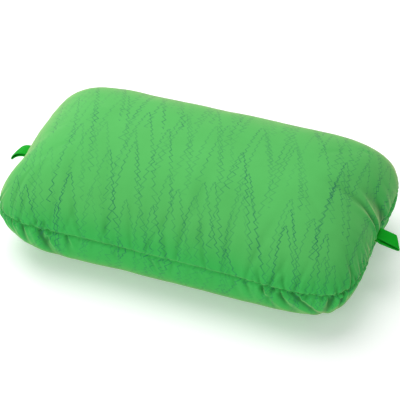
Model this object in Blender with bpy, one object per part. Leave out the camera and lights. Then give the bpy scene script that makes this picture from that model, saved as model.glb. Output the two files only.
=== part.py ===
"""Camp pillow: a two-panel printed cover with a zip in its back seam, round a liner filled with
foam, with a folded tape loop sewn into the seam at each end.

Metres, +Z up. X runs along the pillow, -Y is its front and +Y its back, where the zip is.
The origin is the middle of the flat face that it rests on.
"""

import math

import bmesh
import bpy
from mathutils import Matrix, Vector

# Pillow
LENGTH = 0.410  # over the corners, before the ends are drawn in
WIDTH = 0.238  # over the corners, before the long sides are drawn in
SEAM_HEIGHT = 0.056  # the seam round the pillow, above the surface it rests on
TOP_RISE = 0.0545  # from the seam up to the shoulders of the top panel
CROWN = 0.008  # what the middle of the top panel stands above its shoulders
EDGE_REACH = 0.111  # how far in from the seam each panel keeps curving
CORNER_POWER = 3.4  # superellipse power of the corners in plan
TOP_REACH_POWER, TOP_RISE_POWER = 3.0, 1.82  # superellipse powers of the top panel's profile
BASE_REACH_POWER, BASE_RISE_POWER = 3.64, 1.72  # and of the bottom panel's
FLAT_SHARE = 0.3  # inner share of EDGE_REACH where the bottom panel lies flat
END_PINCH = 0.0175  # how far the middle of each end is drawn in
SIDE_PINCH = 0.0077  # how far the middle of each long side is drawn in
FRONT_PINCH_POWER, BACK_PINCH_POWER = 2, 6  # the zip keeps the back straighter

# Fabrics
COVER_CLOTH = 0.0010
LINER_CLOTH = 0.0005
FIT_GAP = 0.0003  # between pieces that touch
SEAM_THREAD_RADIUS = 0.0003

# Loops
LOOP_TAPE_WIDTH = 0.016
LOOP_TAPE = 0.0008  # thickness
LOOP_REACH = 0.0220  # from the hinge line to the outside of the fold
LOOP_OPENING = 0.0070  # between the two legs, inside the fold
LOOP_DROOP = math.radians(18)
LOOP_HINGE_OUT = 0.0021  # the hinge line outside the seam
TAIL_INSIDE = 0.0060  # how far the sewn ends reach inside the cover

# Zip
ZIP_OPENING = 0.176
ZIP_WINDOW = 0.010  # between the two edges of the cover
TAPE_WIDTH = 0.0101
TAPE_CLOTH = 0.0006
TAPE_SPLIT = 0.0018  # between the two tapes
TAPE_TAIL = 0.006  # what each tape runs on past the opening
COIL_WIDTH = 0.0020
COIL_DEPTH = 0.0018
COIL_SPLIT = 0.0012  # between the two coils, for the slider's divider
STOP_LENGTH = 0.0035
STOP_MARGIN = 0.0010  # from the end of the opening to a stop
STOP_PLAY = 0.0005  # between a stop and the slider
SLIDER_LENGTH = 0.0110
SLIDER_WIDTH = 0.0080
SLIDER_WALL = 0.0009
DIVIDER_WIDTH = 0.0006
DIVIDER_LENGTH = 0.0030
BRIDGE_SPAN = 0.0072
BRIDGE_WIDTH = 0.0016
PULL_LENGTH = 0.0220
PULL_WIDTH = 0.0060
PULL_THICK = 0.0011
PULL_CORNER = 0.0018
PULL_EYE = (0.0036, 0.0034)  # along and across the pull
ZIP_STITCH_IN = 0.0014  # from the edge of the cover to the row of stitches beside the zip

# Mesh fineness
CORNER_STEPS = 10
LONG_SIDE_STEPS = 6
SHORT_SIDE_STEPS = 2
PROFILE_STEPS = 8

HALF_LENGTH = LENGTH / 2
HALF_WIDTH = WIDTH / 2
SHORTEST_SPINE = LOOP_TAPE_WIDTH / 2  # the panels' ends are straight behind each loop
REACH = min(EDGE_REACH, HALF_WIDTH - SHORTEST_SPINE, HALF_LENGTH - SHORTEST_SPINE)
SPINE_X = HALF_LENGTH - REACH
SPINE_Y = HALF_WIDTH - REACH
END_X = HALF_LENGTH - END_PINCH
BACK_Y = HALF_WIDTH - SIDE_PINCH


def clear_scene():
    for item in list(bpy.data.objects):
        bpy.data.objects.remove(item, do_unlink=True)


def finish(name, color, roughness, metallic=0.0):
    """A Principled material."""
    material = bpy.data.materials.new(name)
    material.use_nodes = True
    shader = material.node_tree.nodes["Principled BSDF"]
    shader.inputs["Base Color"].default_value = (*color, 1.0)
    shader.inputs["Roughness"].default_value = roughness
    shader.inputs["Metallic"].default_value = metallic
    return material


def add_object(name, bm, material, location=(0.0, 0.0, 0.0), parent=None, smooth=False):
    mesh = bpy.data.meshes.new(name)
    bm.to_mesh(mesh)
    bm.free()
    mesh.materials.append(material)
    if smooth:
        mesh.shade_smooth()
        mesh.set_sharp_from_angle(angle=math.radians(40))
    item = bpy.data.objects.new(name, mesh)
    item.location = location
    item.parent = parent
    bpy.context.scene.collection.objects.link(item)
    return item


def add_axis(name, location):
    axis = bpy.data.objects.new(name, None)
    axis.empty_display_size = 0.01
    axis.location = location
    bpy.context.scene.collection.objects.link(axis)
    return axis


def add_box(bm, low, high):
    """A box between two corners, added to bm."""
    low, high = Vector(low), Vector(high)
    size = Matrix.Diagonal((*(high - low), 1.0))
    bmesh.ops.create_cube(bm, size=1.0, matrix=Matrix.Translation((low + high) / 2) @ size)


def box_object(name, low, high, material, **options):
    bm = bmesh.new()
    add_box(bm, low, high)
    return add_object(name, bm, material, **options)


def cutter(name, boxes):
    bm = bmesh.new()
    for low, high in boxes:
        add_box(bm, low, high)
    item = add_object(name, bm, finish(name, (1.0, 0.0, 0.0), 0.5))
    item.hide_render = True
    item.display_type = "WIRE"
    return item


def boolean(item, other, operation):
    modifier = item.modifiers.new(operation.lower(), "BOOLEAN")
    modifier.operation = operation
    modifier.solver = "EXACT"
    modifier.object = other


# The pillow's surface


def stations():
    """The points round the pillow: each one's place on the flat spine block, and its reach outwards."""
    found = []
    quarters = ((1, 1, False), (-1, 1, True), (-1, -1, False), (1, -1, True))
    for side_x, side_y, backwards in quarters:
        turns = [math.pi / 2 * step / CORNER_STEPS for step in range(CORNER_STEPS + 1)]
        for turn in reversed(turns) if backwards else turns:
            reach_x = side_x * max(math.cos(turn), 0.0) ** (2 / CORNER_POWER)
            reach_y = side_y * max(math.sin(turn), 0.0) ** (2 / CORNER_POWER)
            found.append((side_x * SPINE_X, side_y * SPINE_Y, reach_x, reach_y))
        if not backwards:
            for step in range(1, LONG_SIDE_STEPS):
                along = side_x * SPINE_X * (1 - 2 * step / LONG_SIDE_STEPS)
                found.append((along, side_y * SPINE_Y, 0.0, float(side_y)))
        else:
            for step in range(1, SHORT_SIDE_STEPS):
                across = side_y * SPINE_Y * (1 - 2 * step / SHORT_SIDE_STEPS)
                found.append((side_x * SPINE_X, across, float(side_x), 0.0))
    return found


def plan_point(station, share):
    """Where a station lies in plan, at this share of the way out to the seam."""
    spine_x, spine_y, reach_x, reach_y = station
    flatten = 1.0 if share > 0 else 0.0
    x = spine_x + reach_x * REACH * share
    y = spine_y * flatten + reach_y * REACH * share
    power = BACK_PINCH_POWER if y > 0 else FRONT_PINCH_POWER
    along, across = min(abs(x) / HALF_LENGTH, 1.0), min(abs(y) / HALF_WIDTH, 1.0)
    y_drawn = y * (1 - SIDE_PINCH / HALF_WIDTH * (1 - along**power) * share**2)
    x_drawn = x * (1 - END_PINCH / HALF_LENGTH * (1 - across**2) * share**2)
    return x_drawn, y_drawn


def top_point(station, step):
    """A point of the top panel, from step 0 at the seam to PROFILE_STEPS on the spine."""
    turn = math.pi / 2 * step / PROFILE_STEPS
    share = math.cos(turn) ** (2 / TOP_REACH_POWER) if step < PROFILE_STEPS else 0.0
    x, y = plan_point(station, share)
    crown = CROWN * (1 - (x / HALF_LENGTH) ** 2) * (1 - (y / HALF_WIDTH) ** 2)
    rise = (TOP_RISE + crown) * math.sin(turn) ** (2 / TOP_RISE_POWER)
    return Vector((x, y, SEAM_HEIGHT + rise))


def base_point(station, step):
    """A point of the bottom panel: its last step but one is the edge of the flat resting face."""
    turn = min(math.pi / 2 * step / (PROFILE_STEPS - 1), math.pi / 2)
    curved = math.cos(turn) ** (2 / BASE_REACH_POWER) if step < PROFILE_STEPS - 1 else 0.0
    share = FLAT_SHARE + (1 - FLAT_SHARE) * curved if step < PROFILE_STEPS else 0.0
    x, y = plan_point(station, share)
    return Vector((x, y, SEAM_HEIGHT * (1 - math.sin(turn) ** (2 / BASE_RISE_POWER))))


def ring_edges(bm, points):
    corners = [bm.verts.new(point) for point in points]
    return [bm.edges.new((a, b)) for a, b in zip(corners, corners[1:] + corners[:1])]


def bridge_rings(bm, first_ring, point):
    """Rings of points from the seam to the spine, joined into a surface."""
    ring = first_ring
    for step in range(1, PROFILE_STEPS + 1):
        following = ring_edges(bm, [point(station, step) for station in stations()])
        bmesh.ops.bridge_loops(bm, edges=ring + following)
        ring = following


def skin_mesh(point):
    """One panel's outer surface, open at the seam."""
    bm = bmesh.new()
    bridge_rings(bm, ring_edges(bm, [point(station, 0) for station in stations()]), point)
    bmesh.ops.remove_doubles(bm, verts=bm.verts, dist=1e-6)
    bmesh.ops.recalc_face_normals(bm, faces=bm.faces)
    outwards = 1 if point is top_point else -1
    middle = max(bm.faces, key=lambda face: outwards * face.calc_center_median().z)
    if middle.normal.z * outwards < 0:
        bmesh.ops.reverse_faces(bm, faces=bm.faces)
    return bm


def draw_in(bm, inset):
    """Moves a surface in along its normals."""
    bm.normal_update()
    moved = [(corner, corner.co - corner.normal * inset) for corner in bm.verts]
    for corner, place in moved:
        corner.co = place


def clear_zip_and_tails(bm, inset):
    """The soft inside gives way behind the zip and round the loops' sewn ends."""
    deeper = inset - COVER_CLOTH - FIT_GAP
    back_limit = tape_face() - TAPE_CLOTH - SLIDER_WALL - 3 * FIT_GAP - deeper
    tail_limit = END_X - TAIL_INSIDE - COVER_CLOTH - 2 * FIT_GAP - deeper
    for corner in bm.verts:
        corner.co.y = min(corner.co.y, back_limit)
        level = abs(corner.co.z - SEAM_HEIGHT) < SEAM_HEIGHT / 4
        if abs(corner.co.y) < 1.3 * LOOP_TAPE_WIDTH and level:
            corner.co.x = max(min(corner.co.x, tail_limit), -tail_limit)


def thicken(bm, cloth):
    """Gives an open skin its thickness inwards, with its raw edge trimmed level at the seam."""
    bm.normal_update()
    bmesh.ops.solidify(bm, geom=bm.faces[:], thickness=cloth)
    middle = sum(corner.co.z for corner in bm.verts) / len(bm.verts)
    for corner in bm.verts:
        if middle > SEAM_HEIGHT:
            corner.co.z = max(corner.co.z, SEAM_HEIGHT + FIT_GAP / 2)
        else:
            corner.co.z = min(corner.co.z, SEAM_HEIGHT - FIT_GAP / 2)
    bmesh.ops.recalc_face_normals(bm, faces=bm.faces)


def panel(name, point, inset, cloth, material):
    bm = skin_mesh(point)
    if inset:
        draw_in(bm, inset)
        clear_zip_and_tails(bm, inset)
    thicken(bm, cloth)
    return add_object(name, bm, material, smooth=True)


def foam_fill(material):
    """The foam, as one closed body that fills the liner."""
    inset = COVER_CLOTH + LINER_CLOTH + 2 * FIT_GAP
    bm = bmesh.new()
    seam_ring = ring_edges(bm, [top_point(station, 0) for station in stations()])
    bridge_rings(bm, seam_ring, top_point)
    bridge_rings(bm, seam_ring, base_point)
    bmesh.ops.remove_doubles(bm, verts=bm.verts, dist=1e-6)
    bmesh.ops.recalc_face_normals(bm, faces=bm.faces)
    draw_in(bm, inset)
    clear_zip_and_tails(bm, inset)
    return add_object("foam_fill", bm, material, smooth=True)


# The seam


def back_reach(height):
    """How far back the skin stands at this height over or under the seam, in the middle."""
    rise = abs(height) / (TOP_RISE + CROWN if height > 0 else SEAM_HEIGHT)
    if height > 0:
        share = (1 - rise**TOP_RISE_POWER) ** (1 / TOP_REACH_POWER)
    else:
        curved = (1 - rise**BASE_RISE_POWER) ** (1 / BASE_REACH_POWER)
        share = FLAT_SHARE + (1 - FLAT_SHARE) * curved
    return (SPINE_Y + REACH * share) * (1 - SIDE_PINCH / HALF_WIDTH * share**2)


def tube(name, points, radius, material):
    """A thread: a round tube through the points, closed at both ends."""
    curve = bpy.data.curves.new(name, "CURVE")
    curve.dimensions = "3D"
    curve.bevel_depth = radius
    curve.bevel_resolution = 1
    curve.use_fill_caps = True
    spline = curve.splines.new("POLY")
    spline.points.add(len(points) - 1)
    for spot, point in zip(spline.points, points):
        spot.co = (*point, 1.0)
    curve.materials.append(material)
    item = bpy.data.objects.new(name, curve)
    bpy.context.scene.collection.objects.link(item)
    return item


def seam_threads(material):
    """The stitching in the seam, in three runs between the loops and the zip."""
    out = 1 + (SEAM_THREAD_RADIUS + 2 * FIT_GAP) / REACH
    spots = [Vector((*plan_point(station, out), SEAM_HEIGHT)) for station in stations()]
    loop_clear = LOOP_TAPE_WIDTH / 2 + 2 * FIT_GAP
    zip_clear = ZIP_OPENING / 2 + FIT_GAP
    front = [spot for spot in spots if spot.y < -loop_clear]
    back = [spot for spot in spots if spot.y > loop_clear]
    back_left = [spot for spot in back if spot.x < -zip_clear]
    back_right = [spot for spot in back if spot.x > zip_clear]
    tube("seam_thread_front", front, SEAM_THREAD_RADIUS, material)
    tube("seam_thread_back_left", back_left, SEAM_THREAD_RADIUS, material)
    tube("seam_thread_back_right", back_right, SEAM_THREAD_RADIUS, material)


# Loops


def belt_points(small, large, distance, steps):
    """The outline of a belt round a small circle at the origin and a large one out along +X."""
    lean = math.asin((large - small) / distance)
    points = []
    for step in range(steps + 1):
        turn = -(math.pi / 2 + lean) + (math.pi + 2 * lean) * step / steps
        points.append((distance + large * math.cos(turn), large * math.sin(turn)))
    for step in range(steps + 1):
        turn = math.pi / 2 + lean + (math.pi - 2 * lean) * step / steps
        points.append((small * math.cos(turn), small * math.sin(turn)))
    return points


def loop_mesh(side):
    """A tape folded back on itself: a flat band round a wide fold, its two ends together."""
    fold_radius = LOOP_OPENING / 2 + LOOP_TAPE
    end_radius = LOOP_TAPE + FIT_GAP / 2
    distance = LOOP_REACH - fold_radius
    bm = bmesh.new()
    inner = belt_points(end_radius - LOOP_TAPE, fold_radius - LOOP_TAPE, distance, 8)
    outer = belt_points(end_radius, fold_radius, distance, 8)
    front = -LOOP_TAPE_WIDTH / 2
    rings = [ring_edges(bm, [Vector((x, front, z)) for x, z in ring]) for ring in (inner, outer)]
    made = bmesh.ops.bridge_loops(bm, edges=rings[0] + rings[1])
    grown = bmesh.ops.extrude_face_region(bm, geom=made["faces"], use_keep_orig=True)
    moved = [item for item in grown["geom"] if isinstance(item, bmesh.types.BMVert)]
    bmesh.ops.translate(bm, vec=(0.0, LOOP_TAPE_WIDTH, 0.0), verts=moved)
    bmesh.ops.rotate(bm, matrix=Matrix.Rotation(LOOP_DROOP, 3, "Y"), verts=bm.verts)
    if side < 0:
        bmesh.ops.rotate(bm, matrix=Matrix.Rotation(math.pi, 3, "Z"), verts=bm.verts)
    bmesh.ops.recalc_face_normals(bm, faces=bm.faces)
    return bm


def loops(material):
    for name, side in (("left", -1), ("right", 1)):
        hinge_x = END_X + LOOP_HINGE_OUT
        hinge = add_axis(f"loop_{name}_hinge", (side * hinge_x, 0.0, SEAM_HEIGHT))
        add_object(f"loop_{name}", loop_mesh(side), material, parent=hinge, smooth=True)
        half_thick = LOOP_TAPE + FIT_GAP / 2
        inner = END_X - COVER_CLOTH - TAIL_INSIDE
        outer = hinge_x - LOOP_TAPE - FIT_GAP / 2 - FIT_GAP
        ends = sorted((side * inner, side * outer))
        low = (ends[0], -LOOP_TAPE_WIDTH / 2, SEAM_HEIGHT - half_thick)
        high = (ends[1], LOOP_TAPE_WIDTH / 2, SEAM_HEIGHT + half_thick)
        box_object(f"loop_{name}_tail", low, high, material)


# Zip: built flat against the plane of its tapes' outer faces, in the back seam


def tape_face():
    """Y of the tapes' outer faces: just inside the cover at the tapes' outer edges."""
    edge = TAPE_SPLIT / 2 + TAPE_WIDTH
    inner_skin = min(back_reach(edge), back_reach(-edge)) - COVER_CLOTH
    return inner_skin - 3 * FIT_GAP


def pull_axis_y():
    """Y of the pull's pivot: over the slider, and far enough out to clear the stitches in the seam."""
    over_slider = tape_face() + COIL_DEPTH + SLIDER_WALL + 3 * FIT_GAP + PULL_THICK / 2
    over_seam_thread = BACK_Y + 2 * SEAM_THREAD_RADIUS + 3 * FIT_GAP + PULL_THICK / 2
    return max(over_slider, over_seam_thread)


def slider_rest_x():
    """X of the slider's middle with the zip closed."""
    nose = -ZIP_OPENING / 2 + STOP_MARGIN + STOP_LENGTH + STOP_PLAY
    return nose + SLIDER_LENGTH / 2


def across_zip(side, start, width):
    """The lowest and highest Z of a strip that starts this far from the zip's middle."""
    return sorted((SEAM_HEIGHT + side * start, SEAM_HEIGHT + side * (start + width)))


def zip_tapes(tape_material, coil_material, stop_material):
    face = tape_face()
    half = ZIP_OPENING / 2
    coil_low = face + FIT_GAP
    coil_top = coil_low + COIL_DEPTH
    stop_at = (-half + STOP_MARGIN, half - STOP_MARGIN - STOP_LENGTH)
    for name, side in (("upper", 1), ("lower", -1)):
        bottom, top = across_zip(side, TAPE_SPLIT / 2, TAPE_WIDTH)
        low = (-half - TAPE_TAIL, face - TAPE_CLOTH, bottom)
        box_object(f"zip_tape_{name}", low, (half + TAPE_TAIL, face, top), tape_material)
        bottom, top = across_zip(side, COIL_SPLIT / 2, COIL_WIDTH)
        low = (stop_at[0] + STOP_LENGTH + FIT_GAP, coil_low, bottom)
        box_object(f"zip_coil_{name}", low, (stop_at[1] - FIT_GAP, coil_top, top), coil_material)
        low = (stop_at[0], coil_low, bottom)
        high = (stop_at[0] + STOP_LENGTH, coil_top, top)
        box_object(f"zip_top_stop_{name}", low, high, stop_material)
    far = COIL_SPLIT / 2 + COIL_WIDTH
    low = (stop_at[1], coil_low, SEAM_HEIGHT - far)
    high = (stop_at[1] + STOP_LENGTH, coil_top, SEAM_HEIGHT + far)
    box_object("zip_bottom_stop", low, high, stop_material)


def zip_threads(material):
    """A row of stitches beside each edge of the opening."""
    for name, side in (("upper", 1), ("lower", -1)):
        height = side * (ZIP_WINDOW / 2 + ZIP_STITCH_IN)
        y = back_reach(height) + SEAM_THREAD_RADIUS + FIT_GAP
        ends = [(sign * ZIP_OPENING / 2, y, SEAM_HEIGHT + height) for sign in (-1, 1)]
        tube(f"zip_thread_{name}", ends, SEAM_THREAD_RADIUS, material)


def zip_slider(material):
    """Two plates joined by the divider, with flanges that hold the coils and a bridge for the pull."""
    face = tape_face()
    axis_y = pull_axis_y()
    half_long, half_wide = SLIDER_LENGTH / 2, SLIDER_WIDTH / 2
    floor = face + COIL_DEPTH + 2 * FIT_GAP
    top = floor + SLIDER_WALL
    under = face - TAPE_CLOTH - FIT_GAP
    lip = face + FIT_GAP
    inside = COIL_SPLIT / 2 + COIL_WIDTH + FIT_GAP
    origin = Vector((slider_rest_x(), axis_y, SEAM_HEIGHT))
    bm = bmesh.new()
    add_box(bm, (-half_long, floor, -half_wide), (half_long, top, half_wide))
    body = add_object("zip_slider", bm, material, location=(origin.x, 0.0, origin.z))
    pieces = [((-half_long, under - SLIDER_WALL, -half_wide), (half_long, under, half_wide))]
    for side in (1, -1):
        reach = sorted((side * inside, side * half_wide))
        pieces.append(((-half_long, lip, reach[0]), (half_long, top, reach[1])))
    low = (-half_long, under - SLIDER_WALL / 2, -DIVIDER_WIDTH / 2)
    high = (DIVIDER_LENGTH - half_long, top - SLIDER_WALL / 2, DIVIDER_WIDTH / 2)
    pieces.append((low, high))
    bridge_low = axis_y + PULL_THICK / 2 + FIT_GAP
    half_span = BRIDGE_SPAN / 2
    for side in (1, -1):
        reach = sorted((side * (half_span - SLIDER_WALL), side * half_span))
        low = (reach[0], top - SLIDER_WALL / 2, -BRIDGE_WIDTH / 2)
        pieces.append((low, (reach[1], bridge_low + SLIDER_WALL, BRIDGE_WIDTH / 2)))
    low = (-half_span, bridge_low, -BRIDGE_WIDTH / 2)
    pieces.append((low, (half_span, bridge_low + SLIDER_WALL, BRIDGE_WIDTH / 2)))
    for index, (low, high) in enumerate(pieces):
        part = cutter(f"slider_part_{index}", [(low, high)])
        part.location = body.location
        boolean(body, part, "UNION")
    return origin


def zip_pull(material, origin):
    """A flat pull whose end bar turns under the slider's bridge."""
    hinge = add_axis("zip_pull_hinge", origin)
    half_thick, half_wide = PULL_THICK / 2, PULL_WIDTH / 2
    low = (-half_thick, -half_thick, -half_wide)
    high = (PULL_LENGTH - half_thick, half_thick, half_wide)
    bm = bmesh.new()
    add_box(bm, low, high)
    free_end = [edge for edge in bm.edges if all(v.co.x > half_thick for v in edge.verts)]
    corners = [edge for edge in free_end if abs(edge.verts[0].co.y - edge.verts[1].co.y) > half_thick]
    bmesh.ops.bevel(
        bm, geom=corners, offset=PULL_CORNER, segments=4, profile=0.5, affect="EDGES", material=-1
    )
    pull = add_object("zip_pull", bm, material, parent=hinge)
    eye_low = (half_thick, -PULL_THICK, -PULL_EYE[1] / 2)
    eye_high = (half_thick + PULL_EYE[0], PULL_THICK, PULL_EYE[1] / 2)
    eye = cutter("pull_eye", [(eye_low, eye_high)])
    eye.parent = hinge
    boolean(pull, eye, "DIFFERENCE")


def cover_openings():
    """The zip's window in the back, and the room for the loops' ends in the seam."""
    far = HALF_WIDTH + ZIP_WINDOW
    half = ZIP_WINDOW / 2
    window_low = (-ZIP_OPENING / 2, BACK_Y - ZIP_WINDOW, SEAM_HEIGHT - half)
    boxes = [(window_low, (ZIP_OPENING / 2, far, SEAM_HEIGHT + half))]
    half_thick = LOOP_TAPE + FIT_GAP / 2 + FIT_GAP
    half_wide = LOOP_TAPE_WIDTH / 2 + FIT_GAP
    for side in (1, -1):
        ends = sorted((side * (END_X - 2 * TAIL_INSIDE), side * (END_X + TAIL_INSIDE)))
        low = (ends[0], -half_wide, SEAM_HEIGHT - half_thick)
        boxes.append((low, (ends[1], half_wide, SEAM_HEIGHT + half_thick)))
    return cutter("cover_openings", boxes)


def main():
    clear_scene()
    print_green = finish("printed_cover", (0.10, 0.52, 0.13), 0.85)
    liner_white = finish("liner_cloth", (0.80, 0.80, 0.78), 0.9)
    foam_cream = finish("foam", (0.83, 0.78, 0.62), 0.95)
    thread_green = finish("thread", (0.07, 0.35, 0.09), 0.6)
    loop_green = finish("loop_tape", (0.02, 0.34, 0.04), 0.75)
    tape_green = finish("zip_tape", (0.06, 0.36, 0.08), 0.8)
    coil_green = finish("zip_coil", (0.05, 0.30, 0.07), 0.4)
    metal = finish("zip_metal", (0.45, 0.46, 0.47), 0.35, 1.0)
    stop_green = finish("zip_stop", (0.05, 0.28, 0.07), 0.45)

    openings = cover_openings()
    boolean(panel("cover_top_panel", top_point, 0.0, COVER_CLOTH, print_green), openings, "DIFFERENCE")
    boolean(panel("cover_bottom_panel", base_point, 0.0, COVER_CLOTH, print_green), openings, "DIFFERENCE")
    liner_inset = COVER_CLOTH + FIT_GAP
    panel("liner_top_panel", top_point, liner_inset, LINER_CLOTH, liner_white)
    panel("liner_bottom_panel", base_point, liner_inset, LINER_CLOTH, liner_white)
    foam_fill(foam_cream)
    seam_threads(thread_green)
    loops(loop_green)
    zip_tapes(tape_green, coil_green, stop_green)
    zip_threads(thread_green)
    origin = zip_slider(metal)
    zip_pull(metal, origin)


main()
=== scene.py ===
import math

import bmesh
import bpy
import numpy as np
from mathutils import Matrix, Vector, kdtree, noise


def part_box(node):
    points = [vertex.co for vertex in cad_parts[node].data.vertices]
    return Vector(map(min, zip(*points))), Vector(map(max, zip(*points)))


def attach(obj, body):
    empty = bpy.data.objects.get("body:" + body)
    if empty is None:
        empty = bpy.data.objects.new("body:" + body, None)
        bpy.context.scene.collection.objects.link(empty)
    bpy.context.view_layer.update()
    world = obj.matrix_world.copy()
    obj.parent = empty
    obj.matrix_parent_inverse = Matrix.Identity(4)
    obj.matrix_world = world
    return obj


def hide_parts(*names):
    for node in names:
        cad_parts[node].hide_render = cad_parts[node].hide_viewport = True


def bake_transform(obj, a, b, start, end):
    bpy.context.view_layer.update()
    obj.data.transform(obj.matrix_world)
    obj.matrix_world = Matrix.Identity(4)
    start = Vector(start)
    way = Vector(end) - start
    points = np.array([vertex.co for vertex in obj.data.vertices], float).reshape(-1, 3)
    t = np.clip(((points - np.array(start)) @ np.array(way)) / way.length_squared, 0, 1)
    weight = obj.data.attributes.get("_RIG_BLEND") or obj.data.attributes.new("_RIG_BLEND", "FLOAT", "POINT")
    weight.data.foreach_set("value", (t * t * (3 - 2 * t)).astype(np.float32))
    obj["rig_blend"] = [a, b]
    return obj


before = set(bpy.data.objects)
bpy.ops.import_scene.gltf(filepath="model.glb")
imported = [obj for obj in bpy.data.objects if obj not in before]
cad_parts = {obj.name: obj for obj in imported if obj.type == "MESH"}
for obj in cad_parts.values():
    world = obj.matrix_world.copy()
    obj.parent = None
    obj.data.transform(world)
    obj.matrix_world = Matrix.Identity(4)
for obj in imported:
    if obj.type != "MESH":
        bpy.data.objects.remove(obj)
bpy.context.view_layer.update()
scene = bpy.context.scene

# Studio: a pale, faintly lit floor in a pale world, one broad soft light above, a small light
# from behind on the left that catches the far rim, and a weak fill from the front.
world = bpy.data.worlds.new("studio")
scene.world = world
world.use_nodes = True
world_light = world.node_tree.nodes["Background"]
world_light.inputs["Color"].default_value = (1.0, 1.0, 1.0, 1.0)
world_light.inputs["Strength"].default_value = 0.42
scene.view_settings.view_transform = "Standard"


def new_object(name, data):
    item = bpy.data.objects.new(name, data)
    scene.collection.objects.link(item)
    return item


floor_mesh = bmesh.new()
bmesh.ops.create_grid(floor_mesh, x_segments=2, y_segments=2, size=6.0)
floor_data = bpy.data.meshes.new("floor")
floor_mesh.to_mesh(floor_data)
floor_mesh.free()
floor = new_object("floor", floor_data)
floor_paint = bpy.data.materials.new("floor_paint")
floor_paint.use_nodes = True
floor_shader = floor_paint.node_tree.nodes["Principled BSDF"]
floor_shader.inputs["Base Color"].default_value = (0.9, 0.9, 0.9, 1.0)
floor_shader.inputs["Roughness"].default_value = 0.9
floor_shader.inputs["Emission Color"].default_value = (1.0, 1.0, 1.0, 1.0)
floor_shader.inputs["Emission Strength"].default_value = 0.25
floor_data.materials.append(floor_paint)


def add_area_light(name, place, size, power):
    """A square soft light that faces the pillow."""
    light = bpy.data.lights.new(name, "AREA")
    light.size = size
    light.energy = power
    item = new_object(name, light)
    item.location = place
    item.rotation_euler = (Vector((0, 0, 0.05)) - Vector(place)).to_track_quat("-Z", "Y").to_euler()


add_area_light("overhead", (-0.35, 0.22, 1.55), 1.5, 19.5)
add_area_light("rim_light", (-1.3, 1.1, 0.7), 0.8, 9.5)
add_area_light("front_fill", (-0.5, -1.5, 0.6), 1.0, 6.0)

camera_azimuth, camera_elevation = math.radians(20.74), math.radians(38.43)
camera_aim, camera_away = Vector((0.0, 0.0, 0.054)), 1.570
camera_data = bpy.data.cameras.new("camera")
camera = new_object("camera", camera_data)
scene.camera = camera
camera_data.sensor_width = 36.0
camera_data.lens = 138.05
camera_data.shift_x, camera_data.shift_y = -0.0022, -0.0169
camera_back = Vector(
    (
        math.sin(camera_azimuth) * math.cos(camera_elevation),
        -math.cos(camera_azimuth) * math.cos(camera_elevation),
        math.sin(camera_elevation),
    )
)
camera.location = camera_aim + camera_back * camera_away
camera.rotation_euler = camera_back.to_track_quat("Z", "Y").to_euler()

# Foam fill: loose pieces of soft foam that a thin liner holds together. They push the pillow into
# its shape: two domed panels of cloth, sewn together round an outline with rounded corners.
half_length, half_width = 0.205, 0.119
seam_height = 0.056
reach = 0.111  # how far the domed rim reaches in from the outline
spine = np.array((half_length - reach, half_width - reach))
corner_power = 3.4  # the outline's corners: 2 is a circle, more is squarer
end_pinch, side_pinch = 0.0175, 0.0077  # how far the middles of the sides are drawn in


def panel_profile(is_top):
    """A panel from its middle out to the seam: share of the run, share of the reach, height."""
    turn = np.linspace(math.pi / 2, 0.0, 1201)
    if is_top:
        share, rise = np.cos(turn) ** (2 / 3.0), np.sin(turn) ** (2 / 1.82)
        height = 0.0585 * rise
    else:
        share = 0.3 + 0.7 * np.cos(turn) ** (2 / 3.64)
        rise = np.sin(turn) ** (2 / 1.72)
        share, rise = np.append(0.0, share), np.append(1.0, rise)
        height = seam_height * rise
    steps = np.hypot(np.diff(share) * reach, np.diff(height))
    run = np.append(0.0, np.cumsum(steps))
    return run / run[-1], share, rise, run[-1]


def pillow_form(across, is_top):
    """Places points of a panel, given from -1 to 1 across its cut: their places and their cloth."""
    run_share, profile_share, profile_rise, run = panel_profile(is_top)
    spine_part = spine / (spine + 0.14)
    outwards = np.clip((np.abs(across) - spine_part) / (1 - spine_part), 0.0, 1.0)
    inner = np.sign(across) * spine * np.minimum(np.abs(across) / spine_part, 1.0)
    gone = outwards.max(axis=1)
    length = (outwards**corner_power).sum(axis=1) ** (1 / corner_power)
    direction = np.sign(across) * outwards / np.maximum(length, 1e-9)[:, None]
    share = np.interp(gone, run_share, profile_share)
    rise = np.interp(gone, run_share, profile_rise)
    x, y = (inner + direction * reach * share[:, None]).T
    along, aside = np.abs(x) / half_length, np.abs(y) / half_width
    pinch_power = np.where(y > 0, 6.0, 2.0)
    drawn_y = y * (1 - side_pinch / half_width * (1 - along**pinch_power) * share**2)
    drawn_x = x * (1 - end_pinch / half_length * (1 - aside**2) * share**2)
    if is_top:
        crown = 0.008 * (1 - (drawn_x / half_length) ** 2) * (1 - (drawn_y / half_width) ** 2)
        z = seam_height + (0.0545 + crown) * rise
    else:
        z = seam_height * (1 - rise)
    cloth = inner + direction * (gone * run)[:, None]
    return np.stack((drawn_x, drawn_y, z), axis=1), cloth, (1 - gone) * run


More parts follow.
